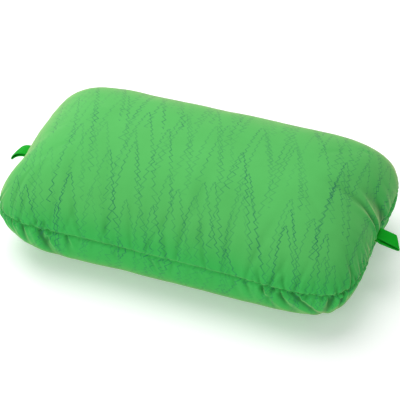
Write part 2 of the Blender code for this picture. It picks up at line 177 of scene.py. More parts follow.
def panel_mesh(is_top, cells, edge_cell):
    """One panel as a grid, finer towards its seam, with its cut cloth in metres as a UV map."""
    bm = bmesh.new()
    cloth_map = bm.loops.layers.uv.new("cloth")
    bmesh.ops.create_grid(bm, x_segments=cells[0], y_segments=cells[1], size=1.0)
    across = np.array([corner.co[:2] for corner in bm.verts])
    even = np.abs(across)
    across = np.sign(across) * (1 - edge_cell * (1 - even) - (1 - edge_cell) * (1 - even) ** 1.6)
    bm.verts.index_update()
    places, cloth, from_seam = pillow_form(across, is_top)
    seam_layer = bm.verts.layers.float.new("from_seam")
    for corner, place, run in zip(bm.verts, places, from_seam):
        corner.co = place
        corner[seam_layer] = run
    for face in bm.faces:
        face.smooth = True
        face.material_index = 0 if is_top else 1
        for corner in face.loops:
            corner[cloth_map].uv = cloth[corner.vert.index]
    if not is_top:
        bmesh.ops.reverse_faces(bm, faces=bm.faces)
    return bm, cloth


def add_piece(name, bm, *materials):
    mesh = bpy.data.meshes.new(name)
    bm.to_mesh(mesh)
    bm.free()
    for material in materials:
        mesh.materials.append(material)
    return new_object(name, mesh)


def applied(piece):
    """A piece's mesh with its modifiers applied."""
    depsgraph = bpy.context.evaluated_depsgraph_get()
    return bpy.data.meshes.new_from_object(piece.evaluated_get(depsgraph))


def draw_in(bm, inset):
    """Moves a panel in along its normals."""
    bm.normal_update()
    moved = [corner.co - corner.normal * inset for corner in bm.verts]
    for corner, place in zip(bm.verts, moved):
        corner.co = place


# The cloth is pulled in near both loops and below the seam at the right end, and the front is
# a little fuller in its middle. Each hollow has a middle, a size and a push.
hollows = (
    ((-0.180, -0.042, 0.078), (0.025, 0.024, 0.024), (0.0046, 0.0, 0.0)),
    ((0.182, 0.020, 0.082), (0.016, 0.016, 0.016), (-0.0036, 0.0, -0.0004)),
    ((0.176, -0.064, 0.074), (0.018, 0.020, 0.013), (-0.0026, 0.0010, 0.0)),
    ((0.184, -0.012, 0.036), (0.030, 0.056, 0.019), (-0.0046, 0.0, 0.0)),
    ((-0.030, -0.104, 0.018), (0.080, 0.020, 0.018), (0.0, -0.0014, 0.0)),
    ((0.130, -0.104, 0.018), (0.035, 0.020, 0.018), (0.0, 0.0016, 0.0)),
)


def press_hollows(bm):
    """Presses the hollows in, and leaves the seam where it is."""
    seam_layer = bm.verts.layers.float["from_seam"]
    places = np.array([corner.co for corner in bm.verts])
    from_seam = np.array([corner[seam_layer] for corner in bm.verts])
    free = 1 - np.exp(-((from_seam / 0.006) ** 2))
    for middle, size, push in hollows:
        share = free * np.exp(-(((places - middle) / size) ** 2).sum(axis=1))
        for corner, part in zip(bm.verts, share):
            corner.co += Vector(push) * part


def join_panels(cells, edge_cell):
    """Both panels in one closed mesh, joined at the seam."""
    joined = bmesh.new()
    joined.loops.layers.uv.new("cloth")
    joined.verts.layers.float.new("from_seam")
    for is_top in (True, False):
        bm = panel_mesh(is_top, cells, edge_cell)[0]
        part = bpy.data.meshes.new("part")
        bm.to_mesh(part)
        bm.free()
        joined.from_mesh(part)
        bpy.data.meshes.remove(part)
    bmesh.ops.remove_doubles(joined, verts=joined.verts, dist=1e-6)
    joined.normal_update()
    return joined


def new_material(name):
    """A material, with its node tree and its Principled shader."""
    material = bpy.data.materials.new(name)
    material.use_nodes = True
    return material, material.node_tree, material.node_tree.nodes["Principled BSDF"]


def feed(tree, socket, value):
    """Sets a socket to a number or colour, or links another node's output to it."""
    if isinstance(value, bpy.types.NodeSocket):
        tree.links.new(value, socket)
    else:
        socket.default_value = value


def calc(tree, operation, *values):
    node = tree.nodes.new("ShaderNodeMath")
    node.operation = operation
    for socket, value in zip(node.inputs, values):
        feed(tree, socket, value)
    return node.outputs[0]


def ramp(tree, value, low, high, start=0.0, end=1.0):
    """Turns low to high into start to end, smoothly."""
    node = tree.nodes.new("ShaderNodeMapRange")
    node.interpolation_type = "SMOOTHSTEP"
    for socket, number in zip(node.inputs, (value, low, high, start, end)):
        feed(tree, socket, number)
    return node.outputs[0]


def blend_colours(tree, share, first, second):
    node = tree.nodes.new("ShaderNodeMix")
    node.data_type = "RGBA"
    feed(tree, node.inputs["Factor"], share)
    feed(tree, node.inputs["A"], (*first, 1.0) if isinstance(first, tuple) else first)
    feed(tree, node.inputs["B"], (*second, 1.0) if isinstance(second, tuple) else second)
    return node.outputs["Result"]


def cloud(tree, place, scale, detail=2.0, roughness=0.5):
    """Soft noise from 0 to 1."""
    node = tree.nodes.new("ShaderNodeTexNoise")
    feed(tree, node.inputs["Vector"], place)
    node.inputs["Scale"].default_value = scale
    node.inputs["Detail"].default_value = detail
    node.inputs["Roughness"].default_value = roughness
    return node.outputs["Fac"]


def raise_surface(tree, shader, height, distance, strength=1.0):
    """Bump, in metres of height."""
    node = tree.nodes.new("ShaderNodeBump")
    node.inputs["Strength"].default_value = strength
    node.inputs["Distance"].default_value = distance
    tree.links.new(height, node.inputs["Height"])
    tree.links.new(node.outputs["Normal"], shader.inputs["Normal"])


def object_place(tree):
    return tree.nodes.new("ShaderNodeTexCoord").outputs["Object"]


foam_material, foam_tree, foam_shader = new_material("open_cell_foam")
foam_place = object_place(foam_tree)
foam_cells = cloud(foam_tree, foam_place, 900.0, 3.0)
foam_lumps = cloud(foam_tree, foam_place, 60.0)
foam_colour = blend_colours(foam_tree, foam_lumps, (0.78, 0.74, 0.58), (0.62, 0.66, 0.60))
foam_tree.links.new(foam_colour, foam_shader.inputs["Base Color"])
foam_shader.inputs["Roughness"].default_value = 0.95
raise_surface(foam_tree, foam_shader, foam_cells, 0.0006)

foam_inset, foam_floor = 0.0048, 0.0045
foam_mesh = join_panels((72, 48), 0.5)
draw_in(foam_mesh, foam_inset)
for corner in foam_mesh.verts:
    lump = noise.noise(corner.co * 70.0) + 0.5 * noise.noise(corner.co * 150.0)
    corner.co += corner.normal * 0.0008 * lump
    corner.co.z = max(corner.co.z, foam_floor)
press_hollows(foam_mesh)
for face in foam_mesh.faces:
    face.material_index = 0
foam = add_piece("foam", foam_mesh, foam_material)
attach(foam, "pillow")
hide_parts("foam_fill")

# Liner: the thin woven bag that holds the loose foam. It is cut to the cover's shape, a little
# smaller, in two panels joined at their rim, and the filled foam keeps it stretched.
liner_material, liner_tree, liner_shader = new_material("liner_weave")
liner_place = object_place(liner_tree)
liner_tone = cloud(liner_tree, liner_place, 40.0)
liner_colour = blend_colours(liner_tree, liner_tone, (0.10, 0.11, 0.105), (0.07, 0.08, 0.075))
liner_tree.links.new(liner_colour, liner_shader.inputs["Base Color"])
liner_shader.inputs["Roughness"].default_value = 0.85
liner_weave = cloud(liner_tree, liner_place, 1400.0, 1.0)
raise_surface(liner_tree, liner_shader, liner_weave, 0.0002)

liner_inset, liner_floor = 0.0036, 0.0031
for liner_side, is_top in (("top", True), ("bottom", False)):
    liner_mesh, liner_cloth = panel_mesh(is_top, (72, 48), 0.5)
    draw_in(liner_mesh, liner_inset)
    for corner in liner_mesh.verts:
        corner.co.z = max(corner.co.z, liner_floor)
    press_hollows(liner_mesh)
    for face in liner_mesh.faces:
        face.material_index = 0
    liner = add_piece(f"liner_{liner_side}", liner_mesh, liner_material)
    liner_wall = liner.modifiers.new("wall", "SOLIDIFY")
    liner_wall.thickness, liner_wall.offset = 0.0003, -1.0
    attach(liner, "pillow")
    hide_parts(f"liner_{liner_side}_panel")
    flat_size = 2 * np.abs(liner_cloth).max(axis=0)
    # The corners are round, so the area is 0.92 of the length times the width.
    0.92 * flat_size.prod()

# Cover: two panels of soft stretch knit, printed with thin jagged peaks and sewn together right
# round. The tight seam gathers the cloth at the corners, and the foam keeps the rest smooth.
cover_mesh = join_panels((96, 62), 0.4)
press_hollows(cover_mesh)
cover_mesh.normal_update()


def read_corners(bm):
    """Each corner's place, outward normal and way from the seam."""
    seam_layer = bm.verts.layers.float["from_seam"]
    return (
        np.array([corner.co for corner in bm.verts]),
        np.array([corner.normal for corner in bm.verts]),
        np.array([corner[seam_layer] for corner in bm.verts]),
    )


formed, outward, from_seam = read_corners(cover_mesh)

cover_material, cover_tree, cover_shader = new_material("printed_knit")
cloth_node = cover_tree.nodes.new("ShaderNodeUVMap")
cloth_node.uv_map = "cloth"
print_turn = cover_tree.nodes.new("ShaderNodeMapping")
print_turn.inputs["Rotation"].default_value = (0.0, 0.0, math.radians(-12.5))
cover_tree.links.new(cloth_node.outputs["UV"], print_turn.inputs["Vector"])
print_place = cover_tree.nodes.new("ShaderNodeSeparateXYZ")
cover_tree.links.new(print_turn.outputs["Vector"], print_place.inputs["Vector"])


def chance(tree, *values):
    """Three random numbers from 0 to 1 for whole numbers, such as a column, a row and a seed."""
    joined = tree.nodes.new("ShaderNodeCombineXYZ")
    for socket, value in zip(joined.inputs, values):
        feed(tree, socket, value)
    node = tree.nodes.new("ShaderNodeTexWhiteNoise")
    node.noise_dimensions = "3D"
    tree.links.new(joined.outputs[0], node.inputs["Vector"])
    parts = tree.nodes.new("ShaderNodeSeparateColor")
    tree.links.new(node.outputs["Color"], parts.inputs["Color"])
    return parts.outputs


def peak_lines(tree, across, along, seed, peak_width, peak_height, teeth, thickness):
    """One layer of printed peaks: two jagged flanks in each cell of a staggered grid."""
    place = calc(tree, "ADD", calc(tree, "DIVIDE", across, peak_width), seed * 0.37)
    column = calc(tree, "FLOOR", place)
    stagger = calc(tree, "MULTIPLY", chance(tree, column, seed, 0.0)[0], 7.0)
    climb = calc(tree, "ADD", calc(tree, "DIVIDE", along, peak_height), stagger)
    row = calc(tree, "FLOOR", climb)
    luck = chance(tree, column, row, seed + 0.5)
    down = calc(tree, "SUBTRACT", 1.0, calc(tree, "SUBTRACT", climb, row))
    lean = calc(tree, "MULTIPLY", calc(tree, "SUBTRACT", luck[0], 0.5), 0.4)
    within_column = calc(tree, "SUBTRACT", place, column)
    side = calc(tree, "SUBTRACT", within_column, calc(tree, "ADD", lean, 0.5))
    is_right = calc(tree, "GREATER_THAN", side, 0.0)
    slope = chance(tree, calc(tree, "ADD", is_right, 3.0), column, row)
    steepness = calc(tree, "MULTIPLY_ADD", slope[0], 0.2, 0.34)
    bowed = calc(tree, "MULTIPLY", calc(tree, "POWER", down, 0.8), steepness)
    # The teeth grow from the peak down, each with a long edge and a short hook.
    turns = calc(tree, "MULTIPLY", calc(tree, "POWER", down, 0.8), teeth)
    turns = calc(tree, "ADD", turns, calc(tree, "MULTIPLY", is_right, 0.43))
    tooth = calc(tree, "FLOOR", turns)
    within = calc(tree, "SUBTRACT", turns, tooth)
    flank_tooth = calc(tree, "ADD", tooth, calc(tree, "MULTIPLY", is_right, 50.0))
    tooth_luck = chance(tree, flank_tooth, column, row)
    longer = calc(tree, "MULTIPLY_ADD", tooth_luck[0], 0.25, 0.6)
    shorter = calc(tree, "SUBTRACT", 1.0, longer)
    rising = calc(tree, "DIVIDE", within, longer)
    falling = calc(tree, "DIVIDE", calc(tree, "SUBTRACT", 1.0, within), shorter)
    jag = calc(tree, "SUBTRACT", calc(tree, "MINIMUM", rising, falling), 0.5)
    size = calc(tree, "MULTIPLY_ADD", down, 0.0042, 0.0018)
    size = calc(tree, "MULTIPLY", size, calc(tree, "MULTIPLY_ADD", tooth_luck[1], 0.7, 0.55))
    off = calc(tree, "SUBTRACT", calc(tree, "ABSOLUTE", side), bowed)
    flank = calc(tree, "MULTIPLY", off, peak_width)
    from_line = calc(tree, "SUBTRACT", flank, calc(tree, "MULTIPLY", jag, size))
    gap = calc(tree, "ABSOLUTE", from_line)
    is_hook = calc(tree, "GREATER_THAN", within, longer)
    width = calc(tree, "MULTIPLY_ADD", is_hook, thickness * 0.7, thickness)
    line = ramp(tree, gap, calc(tree, "MULTIPLY", width, 0.4), width, 1.0, 0.0)
    strength = calc(tree, "MULTIPLY_ADD", calc(tree, "POWER", slope[1], 1.3), 0.6, 0.38)
    return calc(tree, "MULTIPLY", line, strength)


across, along = print_place.outputs["X"], print_place.outputs["Y"]
layers = [
    peak_lines(cover_tree, across, along, 1.0, 0.046, 0.104, 13.0, 0.00055),
    peak_lines(cover_tree, across, along, 2.0, 0.054, 0.118, 14.0, 0.00055),
    peak_lines(cover_tree, across, along, 3.0, 0.041, 0.092, 12.0, 0.00045),
    peak_lines(cover_tree, across, along, 4.0, 0.060, 0.136, 17.0, 0.00045),
]
ink = layers[0]
for layer in layers[1:]:
    ink = calc(cover_tree, "MAXIMUM", ink, layer)
wear = ramp(cover_tree, cloud(cover_tree, cloth_node.outputs["UV"], 22.0), 0.3, 0.7, 0.55, 1.0)
ink = calc(cover_tree, "MULTIPLY", ink, wear)
dye = cloud(cover_tree, cloth_node.outputs["UV"], 14.0, 7.0, 0.7)
top_light_node, shade_node = (cover_tree.nodes.new("ShaderNodeAttribute") for _ in range(2))
top_light_node.attribute_name, shade_node.attribute_name = "painted_top_light", "fold_shade"
cloth_colour = blend_colours(cover_tree, dye, (0.026, 0.39, 0.062), (0.044, 0.49, 0.090))
# A paler, yellower green, blended in where the cloth faces up: painted light from above.
painted_top_light_colour = blend_colours(cover_tree, dye, (0.070, 0.41, 0.086), (0.092, 0.51, 0.112))
cloth_colour = blend_colours(cover_tree, top_light_node.outputs["Fac"], cloth_colour, painted_top_light_colour)
# Painted shade: the creases are blended towards a deep green.
shaded = calc(cover_tree, "MULTIPLY", shade_node.outputs["Fac"], 0.9)
cloth_colour = blend_colours(cover_tree, shaded, cloth_colour, (0.004, 0.16, 0.022))
cloth_colour = blend_colours(cover_tree, ink, cloth_colour, (0.010, 0.14, 0.085))
cover_tree.links.new(cloth_colour, cover_shader.inputs["Base Color"])
cover_shader.inputs["Roughness"].default_value = 0.8
cover_shader.inputs["Specular IOR Level"].default_value = 0.25
cover_shader.inputs["Sheen Weight"].default_value = 0.6
cover_shader.inputs["Sheen Roughness"].default_value = 0.3
cover_shader.inputs["Sheen Tint"].default_value = (0.9, 0.75, 0.45, 1.0)
pile = cloud(cover_tree, cloth_node.outputs["UV"], 900.0, 2.0)
raise_surface(cover_tree, cover_shader, pile, 0.0002, 0.5)


def smooth_step(values, low, high):
    share = np.clip((values - low) / (high - low), 0.0, 1.0)
    return share * share * (3 - 2 * share)


# The filled cover settles: its cloth is cut a little large round the corners. The foam
# presses it out, and it is held at the seam, beside the zip and where it rests.
sewn = add_piece("sewn_cover", cover_mesh.copy())
held = sewn.vertex_groups.new(name="held")
loose = sewn.vertex_groups.new(name="loose")
at_corner = smooth_step(np.abs(formed[:, 0]), 0.110, 0.160) * smooth_step(
    np.abs(formed[:, 1]), 0.045, 0.090
)
at_end = smooth_step(np.abs(formed[:, 0]), 0.165, 0.182)
looseness = np.maximum(at_corner, 0.4 * at_end) * np.exp(-from_seam / 0.03)
looseness *= np.where(formed[:, 2] > seam_height, 0.6, 1.0)
beside_zip = (np.abs(formed[:, 0]) < 0.095) & (formed[:, 1] > 0.09) & (from_seam < 0.014)
pinned = np.where((from_seam < 1e-6) | (formed[:, 2] < 1e-4) | beside_zip, 1.0, 0.0)
for index, (pin, slack) in enumerate(zip(pinned, looseness)):
    held.add([index], float(pin), "REPLACE")
    loose.add([index], float(slack), "REPLACE")
cloth = sewn.modifiers.new("cloth", "CLOTH")
cloth.settings.quality = 5
cloth.settings.mass = 0.2
cloth.settings.tension_stiffness = cloth.settings.compression_stiffness = 15.0
cloth.settings.shear_stiffness = 5.0
cloth.settings.bending_stiffness = 0.1
cloth.settings.vertex_group_mass = "held"
cloth.settings.vertex_group_shrink = "loose"
cloth.settings.shrink_min, cloth.settings.shrink_max = 0.0, -0.07
cloth.settings.use_pressure = True
cloth.settings.uniform_pressure_force = 4.0
cloth.settings.effector_weights.gravity = 0.0
cloth.point_cache.frame_start, cloth.point_cache.frame_end = 1, 20
for step in range(1, 21):
    scene.frame_set(step)
settled = sewn.evaluated_get(bpy.context.evaluated_depsgraph_get()).data
places = np.empty(len(settled.vertices) * 3, dtype=np.float32)
settled.vertices.foreach_get("co", places)
moves = places.reshape(-1, 3) - formed
lifts = (moves * outward).sum(axis=1)
most_out, most_in, furthest = 0.0030, 0.0010, 0.005
most = np.where(lifts > 0, most_out, most_in)
capped = most * np.tanh(lifts / most)
moves += outward * (capped - lifts)[:, None]
lengths = np.linalg.norm(moves, axis=1)
moves *= np.minimum(1.0, furthest / np.maximum(lengths, 1e-9))[:, None]
for corner, place in zip(cover_mesh.verts, formed + moves):
    corner.co = place
bpy.data.objects.remove(sewn)
scene.frame_set(1)

rough_cover = add_piece("rough_cover", cover_mesh)
finer = rough_cover.modifiers.new("finer", "SUBSURF")
finer.levels = finer.render_levels = 2
cover_mesh = bmesh.new()
cover_mesh.from_mesh(applied(rough_cover))
bpy.data.objects.remove(rough_cover)
cover_mesh.normal_update()
formed, outward, from_seam = read_corners(cover_mesh)
is_upper = formed[:, 2] > seam_height


def ring_turns(end_count, side_count):
    """The seam right round from the left front corner, given from -1 to 1 across the cut."""
    sides, ends = np.linspace(-1.0, 1.0, side_count), np.linspace(-1.0, 1.0, end_count)
    return np.concatenate(
        [
            np.stack((sides, np.full(side_count, -1.0)), axis=1),
            np.stack((np.ones(end_count), ends), axis=1),
            np.stack((-sides, np.ones(side_count)), axis=1),
            np.stack((-np.ones(end_count), -ends), axis=1),
        ]
    )


def run_along(points):
    """How far each point is along the line through them."""
    return np.append(0.0, np.cumsum(np.linalg.norm(np.diff(points, axis=0), axis=1)))


seam_ring = pillow_form(ring_turns(300, 500), True)[0]
ring_run = run_along(seam_ring)
ring_tree = kdtree.KDTree(len(seam_ring))
for index, place in enumerate(seam_ring):
    ring_tree.insert((place[0], place[1], 0.0), index)
ring_tree.balance()
along_seam = ring_run[[ring_tree.find((place[0], place[1], 0.0))[1] for place in formed]]
front_right, right_back, back_left, left_front = ring_run[[499, 799, 1299, 1599]]


def pucker(run):
    """How far the seam wanders up and down where it is gathered, at the front corners."""
    wander = 0.0022 * noise.noise(Vector((run * 110.0, 3.7, 0.0)))
    corners = (0.030, front_right - 0.012, front_right + 0.76)
    from_corner = min(abs(run - place) for place in corners)
    return wander * math.exp(-((from_corner / 0.045) ** 2))


def crease(upper, at, lean, width, length, depth):
    """One crease that runs in from the seam, with the cloth puffed on both sides of it."""
    near = (is_upper == upper) & (from_seam < 3 * length)
    inward = from_seam[near]
    half_ring = ring_run[-1] / 2
    off = (along_seam[near] - at - lean * inward + half_ring) % ring_run[-1] - half_ring
    wide = width + 0.06 * inward
    fade = np.exp(-((inward / length) ** 1.5)) * (1 - np.exp(-inward / 0.0015))
    sunk = np.exp(-((np.abs(off) / wide) ** 1.5))
    puffed = 0.45 * np.exp(-((np.abs(off) / wide - 2.3) ** 2))
    rise = np.zeros(len(formed))
    rise[near] = depth * fade * (puffed - sunk)
    return rise


# The deepest creases: upper panel or not, place along the seam, lean, width, length and depth.
lift = np.zeros(len(formed))
for upper, at, lean, width, length, depth in (
    (False, 0.020, 0.1, 0.0016, 0.012, 0.0024),
    (False, 0.034, 0.05, 0.0018, 0.020, 0.0034),
    (False, 0.0545, 0.25, 0.0032, 0.028, 0.0050),
    (False, 0.083, 0.1, 0.0022, 0.018, 0.0022),
    (True, 0.032, -0.3, 0.0016, 0.007, 0.0022),
    (True, 0.046, 0.2, 0.0018, 0.009, 0.0026),
    (True, 0.058, 0.3, 0.0016, 0.008, 0.0022),
    (False, 0.300, 0.6, 0.0030, 0.022, 0.0026),
    (False, 0.318, 0.8, 0.0032, 0.030, 0.0040),
    (False, 0.359, -0.1, 0.0030, 0.024, 0.0046),
    (False, 0.371, 0.0, 0.0018, 0.016, 0.0030),
    (True, 0.458, 0.02, 0.0012, 0.045, 0.0050),
    (True, 0.485, -0.2, 0.0060, 0.035, 0.0030),
):
    lift += crease(upper, at, lean, width, length, depth)
# Rows of gathers: upper panel or not, start and end along the seam, spacing, length and depth.
for upper, start, end, spacing, length, depth, seed in (
    (False, -0.04, 0.10, 0.0085, 0.018, 0.0022, 11),
    (False, 0.10, front_right - 0.10, 0.014, 0.018, 0.0009, 12),
    (False, front_right - 0.10, front_right + 0.06, 0.0080, 0.020, 0.0024, 13),
    (True, 0.02, front_right - 0.09, 0.012, 0.050, 0.0007, 14),
    (True, front_right - 0.09, front_right + 0.05, 0.0085, 0.016, 0.0018, 15),
    (True, -0.03, 0.07, 0.0085, 0.012, 0.0014, 16),
    (True, front_right + 0.05, right_back - 0.05, 0.009, 0.026, 0.0010, 17),
    (False, front_right + 0.06, right_back - 0.05, 0.009, 0.024, 0.0020, 18),
    (False, right_back - 0.07, right_back + 0.07, 0.0075, 0.020, 0.0022, 19),
    (True, right_back - 0.07, right_back + 0.07, 0.009, 0.016, 0.0010, 20),
    (False, right_back + 0.07, back_left - 0.07, 0.012, 0.014, 0.0006, 21),
    (False, back_left - 0.07, back_left + 0.07, 0.0075, 0.020, 0.0022, 22),
    (True, back_left - 0.07, back_left + 0.07, 0.009, 0.016, 0.0010, 23),
    (False, back_left + 0.07, left_front - 0.04, 0.008, 0.020, 0.0020, 24),
    (True, back_left + 0.07, left_front - 0.04, 0.009, 0.022, 0.0011, 25),
):
    luck = np.random.default_rng(seed)
    for place in np.arange(start, end, spacing):
        at = place + luck.uniform(-0.4, 0.4) * spacing
        lean, part = luck.uniform(-0.4, 0.4), luck.uniform(0.3, 1.3)
        lift += crease(upper, at, lean, 0.0014, length * luck.uniform(0.4, 1.4), depth * part)
creased = lift.copy()
# Soft wrinkles all over, drawn out towards the seam near it.
for index, (place, run, inward) in enumerate(zip(formed, along_seam, from_seam)):
    drawn = noise.noise(Vector((run * 70.0, inward * 16.0, place[2] * 8.0)))
    drawn *= math.exp(-inward / 0.05)
    lift[index] += 0.0006 * drawn + 0.0010 * noise.noise(Vector(place) * 26.0)
# The liner is close behind the cover, so no fold goes deeper than this.
deepest = 0.0021
lift = np.where(lift < 0, deepest * np.tanh(lift / deepest), lift)
# The zip's tapes keep the cloth beside them flat.
flattened = smooth_step(-np.abs(formed[:, 0]), -0.105, -0.092) * (formed[:, 1] > 0.09)
lift *= 1 - flattened * np.exp(-((from_seam / 0.014) ** 4))
# The seam pulls both panels in, which leaves a valley right round.
valley = 0.0015 * np.exp(-((from_seam / 0.0020) ** 2))
formed[:, 2] += [
    pucker(run) * math.exp(-((inward / 0.004) ** 2)) for run, inward in zip(along_seam, from_seam)
]
level = outward * (1.0, 1.0, 0.0)
level /= np.maximum(np.linalg.norm(level, axis=1), 1e-6)[:, None]
top_light_layer = cover_mesh.verts.layers.float.new("painted_top_light")
shade_layer = cover_mesh.verts.layers.float.new("fold_shade")
# The cloth is painted paler and yellower where it faces up, as painted light from above, and the creases are
# painted darker, as painted shade.
light_from_above = smooth_step(outward @ np.array((-0.25, 0.25, 0.935)), -0.15, 0.6)
placed = formed + outward * lift[:, None] - level * valley[:, None]
for corner, place, painted_top_light, fold in zip(cover_mesh.verts, placed, light_from_above, creased):
    corner.co = (place[0], place[1], max(place[2], 0.0))
    corner[top_light_layer] = painted_top_light
    corner[shade_layer] = min(max(-fold / 0.0026, 0.0), 1.0)


def open_zip_window(bm, side):
    """Parts the panel from the seam along the zip, and turns its edge in to the zip's tape."""
    half_window, half_gap, tape_front, moved_height = 0.0880, 0.0049, 0.1086, 0.018
    for corner in bm.verts:
        height = abs(corner.co.z - seam_height)
        if corner.co.y < 0.09 or height > moved_height:
            continue
        share = min(max((half_window - abs(corner.co.x)) / 0.003, 0.0), 1.0)
        share *= share * (3 - 2 * share)
        near = 1 - height / moved_height
        corner.co.z += side * half_gap * share * near
        corner.co.y += share * (tape_front - corner.co.y) * max(1 - height / 0.0011, 0.0)


for cover_side, index in (("top", 0), ("bottom", 1)):
    side_mesh = cover_mesh.copy()
    others = [face for face in side_mesh.faces if face.material_index != index]
    bmesh.ops.delete(side_mesh, geom=others, context="FACES")
    for face in side_mesh.faces:
        face.material_index = 0
    open_zip_window(side_mesh, 1 if index == 0 else -1)
    cover = add_piece(f"cover_{cover_side}", side_mesh, cover_material)
    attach(cover, "pillow")
    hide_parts(f"cover_{cover_side}_panel")
    flat_size = 2 * (spine + panel_profile(index == 0)[3])
    0.92 * flat_size.prod()
cover_mesh.free()

# Seam stitches: a lockstitch of polyester thread joins the panels. The seam is turned to the
# inside, so only short lengths of thread show in its valley, between the loops and the zip.
thread_material, thread_tree, thread_shader = new_material("sewing_thread")
thread_twist = thread_tree.nodes.new("ShaderNodeTexWave")
thread_twist.bands_direction = "DIAGONAL"
thread_twist.inputs["Scale"].default_value = 900.0
thread_tree.links.new(object_place(thread_tree), thread_twist.inputs["Vector"])
twist = thread_twist.outputs["Fac"]
thread_colour = blend_colours(thread_tree, twist, (0.02, 0.30, 0.05), (0.05, 0.42, 0.08))
thread_tree.links.new(thread_colour, thread_shader.inputs["Base Color"])
thread_shader.inputs["Roughness"].default_value = 0.55
raise_surface(thread_tree, thread_shader, twist, 0.0001)
stitch_length, seam_gap, seam_thread = 0.0024, 0.0011, 0.00028
loop_clear, zip_clear = 0.0075, 0.089


def stitch_row(points, normals, stitch, gap, radius):
    """Stitches along a line of points: a capsule for each, sunk at both ends."""
    bm = bmesh.new()
    run = run_along(points)
    pitch = stitch + gap

    def read_line(spot, values):
        return Vector([np.interp(spot, run, values[:, axis]) for axis in range(3)])

    for index in range(int(run[-1] // pitch)):
        middle = (index + 0.5) * pitch
        start, end = (read_line(middle + half, points) for half in (-stitch / 2, stitch / 2))
        place, out = read_line(middle, points), read_line(middle, normals).normalized()
        along = (end - start).normalized()
        turn = Matrix((along, out.cross(along), out)).transposed().to_4x4()
        size = Matrix.Diagonal((stitch / 2, radius, radius, 1.0))
        matrix = Matrix.Translation(place) @ turn @ size @ Matrix.Rotation(math.pi / 2, 4, "Y")
        bmesh.ops.create_uvsphere(bm, u_segments=6, v_segments=5, radius=1.0, matrix=matrix)
    for face in bm.faces:
        face.smooth = True
    return bm


def seam_line(step_count, sink):
    """The seam right round the pillow, sunk into its valley: points and outward directions."""
    places = pillow_form(ring_turns(step_count, step_count), True)[0]
    forward = np.roll(places, -1, axis=0) - np.roll(places, 1, axis=0)
    outwards = np.stack((forward[:, 1], -forward[:, 0], np.zeros(len(places))), axis=1)
    outwards /= np.maximum(np.linalg.norm(outwards, axis=1), 1e-9)[:, None]
    run = run_along(places)
    places = places - outwards * sink
    places[:, 2] += np.array([pucker(spot) for spot in run])
    return places, outwards


seam_places, seam_outwards = seam_line(160, sink=0.0011)
behind = seam_places[:, 1] > loop_clear
seam_runs = {
    "front": seam_places[:, 1] < -loop_clear,
    "back_left": behind & (seam_places[:, 0] < -zip_clear),
    "back_right": behind & (seam_places[:, 0] > zip_clear),
}
for run_name, chosen in seam_runs.items():
    run_places, run_outwards = seam_places[chosen], seam_outwards[chosen]
    if run_name == "front":
        start = int(np.argmax(np.linalg.norm(np.diff(run_places, axis=0), axis=1))) + 1
        run_places = np.roll(run_places, -start, axis=0)
        run_outwards = np.roll(run_outwards, -start, axis=0)
    stitches = add_piece(
        f"seam_stitches_{run_name}",
        stitch_row(run_places, run_outwards, stitch_length, seam_gap, seam_thread),
        thread_material,
    )
    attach(stitches, "pillow")
    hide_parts(f"seam_thread_{run_name}")

# Loops: a short ribbed woven tape at each end, folded in half with its ends sewn into the seam,
# so that the pillow can be tied down. It bends where it leaves the seam.
tape_width, tape_thick = 0.0160, 0.0009
hinge_out, loop_reach = 0.1896, 0.0215

tape_material, tape_tree, tape_shader = new_material("ribbed_tape")
tape_map = tape_tree.nodes.new("ShaderNodeUVMap")
tape_map.uv_map = "tape"
tape_place = tape_tree.nodes.new("ShaderNodeSeparateXYZ")
tape_tree.links.new(tape_map.outputs["UV"], tape_place.inputs["Vector"])
rib = calc(tape_tree, "PINGPONG", calc(tape_tree, "DIVIDE", tape_place.outputs["X"], 0.0007), 0.5)
strand = calc(tape_tree, "PINGPONG", calc(tape_tree, "DIVIDE", tape_place.outputs["Y"], 0.0005), 0.5)
edge = ramp(tape_tree, calc(tape_tree, "ABSOLUTE", tape_place.outputs["Y"]), 0.0066, 0.0072)
tape_tone = cloud(tape_tree, tape_map.outputs["UV"], 300.0)
tape_colour = blend_colours(tape_tree, tape_tone, (0.001, 0.34, 0.008), (0.004, 0.40, 0.018))
tape_colour = blend_colours(
    tape_tree, calc(tape_tree, "MULTIPLY", edge, 0.5), tape_colour, (0.02, 0.46, 0.04)
)
tape_tree.links.new(tape_colour, tape_shader.inputs["Base Color"])
tape_shader.inputs["Roughness"].default_value = 0.6
tape_shader.inputs["Specular IOR Level"].default_value = 0.06
weave_height = calc(tape_tree, "MULTIPLY_ADD", strand, 0.35, rib)
raise_surface(tape_tree, tape_shader, weave_height, 0.0004, 0.7)


def tape_path(droop, out, fold):
    """A loop's tape seen from its side, from one sewn end out round the fold and back."""
    root, sewn, tail = 0.00055, 0.00052, (0.0080, 0.0040, 0.0012)
    lean = math.asin((fold - root) / out)
    arc = np.linspace(math.pi / 2 + lean, -math.pi / 2 - lean, 25)
    points = [(-spot, sewn) for spot in tail]
    points += [(out + fold * math.cos(turn), fold * math.sin(turn)) for turn in arc]
    points += [(-spot, -sewn) for spot in reversed(tail)]
    points = np.array(points)
    outside = points[:, 0] > 0
    cos_droop, sin_droop = math.cos(droop), math.sin(droop)
    turned = points @ np.array(((cos_droop, -sin_droop), (sin_droop, cos_droop)))
    points = np.where(outside[:, None], turned, points)
    return run_along(points), points


